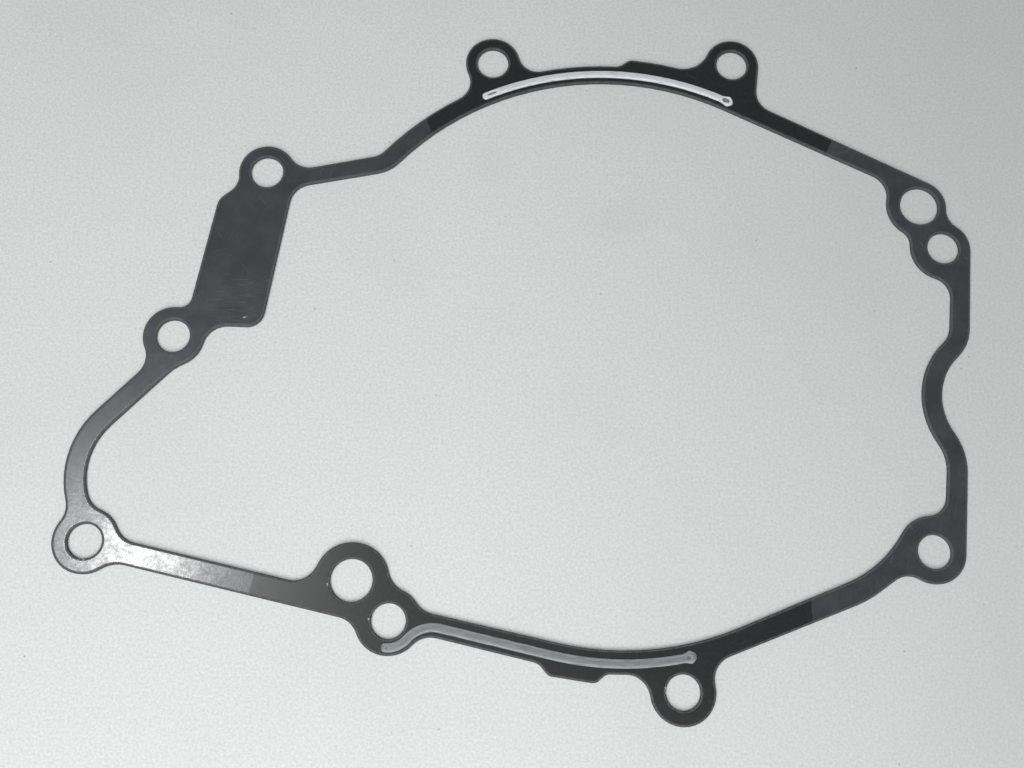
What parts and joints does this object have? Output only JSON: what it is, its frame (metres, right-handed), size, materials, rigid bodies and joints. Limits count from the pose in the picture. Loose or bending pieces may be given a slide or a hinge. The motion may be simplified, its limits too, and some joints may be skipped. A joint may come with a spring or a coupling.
{
  "type": "stator cover gasket",
  "caption": "Flat stamped gasket for an engine's stator cover: a thin coated steel outline with bolt and dowel holes round one large opening, and laid beads of sealant.",
  "frame": {"origin": "middle of the low dowel hole, on the sheet's underside", "axes": "+X along the longest extent, from the lone left bolt towards the right dowel; +Y in the sheet's plane towards the top bolts; +Z out of the face that carries the sealant"},
  "size_m": [0.1883, 0.1457, 0.0013],
  "materials": {
    "coated_sheet": "satin",
    "sealant": "satin"
  },
  "bodies": {
    "root": {"gasket_sheet": "coated_sheet", "upper_sealant_bead": "sealant", "lower_sealant_bead": "sealant"}
  },
  "joints": []
}
